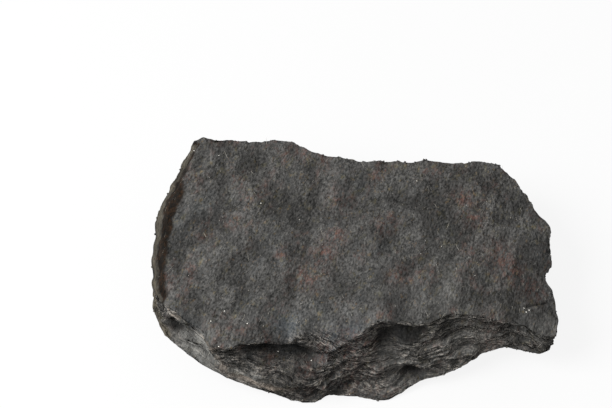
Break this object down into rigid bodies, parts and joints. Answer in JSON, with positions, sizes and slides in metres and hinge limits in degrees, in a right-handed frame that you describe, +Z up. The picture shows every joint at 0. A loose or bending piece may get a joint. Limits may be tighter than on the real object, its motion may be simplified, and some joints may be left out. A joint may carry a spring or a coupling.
{
  "type": "navajoite specimen",
  "caption": "Flat hand specimen of dark vanadium-bearing sandstone with torn ledges along its sides and a flat spot to rest on.",
  "frame": {"origin": "centre of the bounding box at its base, in the plane of the flat spot that the stone rests on", "axes": "+X along the slab towards its thin end, +Y towards the back, away from the side with the deep recess and the pit, +Z up, square to the bedding"},
  "size_m": [0.0796, 0.0536, 0.0177],
  "materials": {
    "vanadium_ore": "dull, granular, torn along its bedding"
  },
  "bodies": {
    "root": {"navajoite_slab": "vanadium_ore"}
  },
  "joints": []
}
